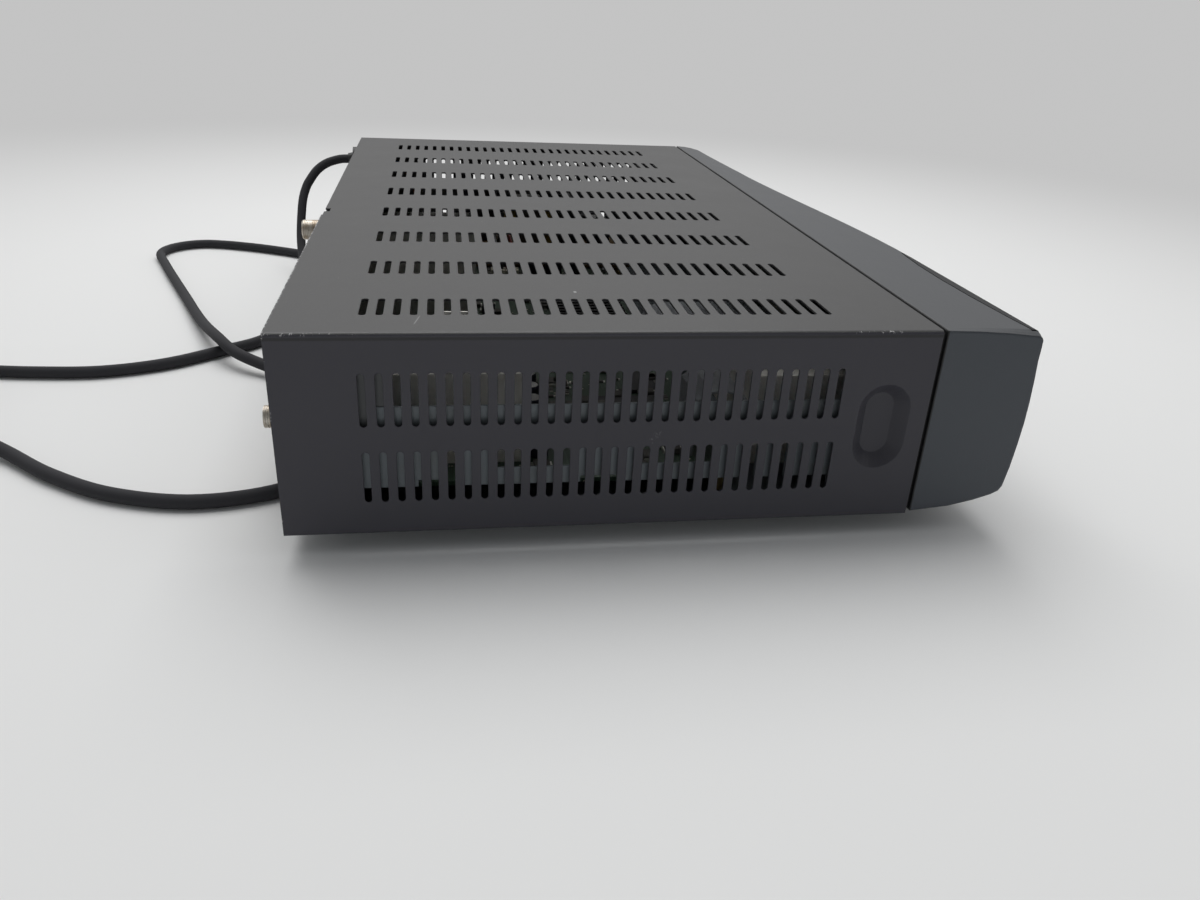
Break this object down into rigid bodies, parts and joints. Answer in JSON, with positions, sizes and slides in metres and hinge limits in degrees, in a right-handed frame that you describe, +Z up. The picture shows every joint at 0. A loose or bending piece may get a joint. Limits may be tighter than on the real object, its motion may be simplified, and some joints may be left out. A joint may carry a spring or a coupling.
{
  "type": "satellite receiver",
  "caption": "Flat satellite television receiver: slotted steel cover, curved moulded front with a card flap and push buttons, rear sockets and a captive mains cord.",
  "frame": {"origin": "centre of the base, on the surface that the feet stand on", "axes": "+X to the right seen from the front, -Y out of the front, +Z up"},
  "size_m": [0.4167, 0.4887, 0.079],
  "materials": {
    "cover_paint": "satin black powder coat, worn along the folds",
    "tray_steel": "dull zinc-coated steel",
    "panel_steel": "satin dark grey paint",
    "bezel_plastic": "fine-grained moulded plastic, dark grey-blue",
    "key_plastic": "satin moulded plastic",
    "smoked_window": "smoked acrylic",
    "clear_pipe": "clear moulded plastic",
    "foot_rubber": "matt black rubber",
    "zinc_screw": "zinc-plated",
    "black_screw": "black oxide",
    "tin_can": "tinplate",
    "nickel": "dull nickel plate",
    "black_plastic": "black moulded nylon",
    "green_board": "green solder mask",
    "tan_board": "paper laminate",
    "chip_resin": "moulded resin",
    "heat_sink_metal": "black anodised",
    "capacitor_sleeve": "shrink sleeve with a bare aluminium top",
    "ferrite": "ground ferrite",
    "yellow_tape": "polyester tape",
    "glass_tube": "clear glass",
    "brass": "bright",
    "cream_plastic": "cream nylon",
    "ribbon": "grey flat cable",
    "lead_red": "insulated leads",
    "lead_brown": "insulated mains leads",
    "cord_rubber": "satin black sheath",
    "module_body": "dark epoxy"
  },
  "bodies": {
    "case": {"top_cover": "cover_paint", "chassis_tray": "tray_steel", "rear_panel": "panel_steel", "rubber_feet": "foot_rubber", "foot_screws": "zinc_screw", "cover_screws": "black_screw", "front_bezel": "bezel_plastic", "display_window": "smoked_window", "light_pipe": "clear_pipe", "tact_switches": "tin_can", "front_board": "green_board", "display_module": "module_body", "infrared_sensor": "module_body", "card_reader": "tin_can", "main_board": "green_board", "board_standoffs": "brass", "board_screws": "zinc_screw", "processor_chip": "chip_resin", "chip_heat_sink": "heat_sink_metal", "memory_chips": "chip_resin", "board_capacitors": "capacitor_sleeve", "tuner_can": "tin_can", "aerial_sockets": "nickel", "screening_can": "tin_can", "phono_block": "black_plastic", "phono_sockets": "nickel", "scart_sockets": "black_plastic", "data_socket": "nickel", "power_board": "tan_board", "transformer_core": "ferrite", "transformer_coil": "yellow_tape", "mains_capacitor": "capacitor_sleeve", "output_capacitors": "capacitor_sleeve", "power_heat_sink": "heat_sink_metal", "power_transistors": "chip_resin", "mains_fuse": "glass_tube", "fuse_clips": "brass", "mains_filter": "yellow_tape", "ribbon_cable": "ribbon", "card_ribbon": "ribbon", "ribbon_headers": "cream_plastic", "power_leads": "lead_red", "lead_headers": "cream_plastic", "mains_leads": "lead_brown", "strain_relief": "black_plastic", "mains_cord": "cord_rubber", "cord_tie": "black_plastic", "mains_plug": "cord_rubber", "plug_pins": "nickel"},
    "flap": {"front_flap": "bezel_plastic"},
    "power_key": {"power_button": "key_plastic", "power_stem": "black_plastic"},
    "up_key": {"up_button": "key_plastic", "up_stem": "black_plastic"},
    "down_key": {"down_button": "key_plastic", "down_stem": "black_plastic"},
    "menu_key": {"menu_button": "key_plastic", "menu_stem": "black_plastic"},
    "ok_key": {"ok_button": "key_plastic", "ok_stem": "black_plastic"}
  },
  "joints": [
    {"name": "flap_hinge", "type": "hinge", "parent": "case", "child": "flap", "pos_m": [-0.2018, -0.13465, 0.023], "axis": [1, 0, 0], "range_deg": [0, 90]},
    {"name": "power_press", "type": "slide", "parent": "case", "child": "power_key", "axis": [0, 1, 0], "range_m": [0, 0.0004], "stiffness_N_per_m": 900},
    {"name": "up_press", "type": "slide", "parent": "case", "child": "up_key", "axis": [0, 1, 0], "range_m": [0, 0.0004], "stiffness_N_per_m": 900},
    {"name": "down_press", "type": "slide", "parent": "case", "child": "down_key", "axis": [0, 1, 0], "range_m": [0, 0.0004], "stiffness_N_per_m": 900},
    {"name": "menu_press", "type": "slide", "parent": "case", "child": "menu_key", "axis": [0, 1, 0], "range_m": [0, 0.0004], "stiffness_N_per_m": 900},
    {"name": "ok_press", "type": "slide", "parent": "case", "child": "ok_key", "axis": [0, 1, 0], "range_m": [0, 0.0004], "stiffness_N_per_m": 900}
  ]
}
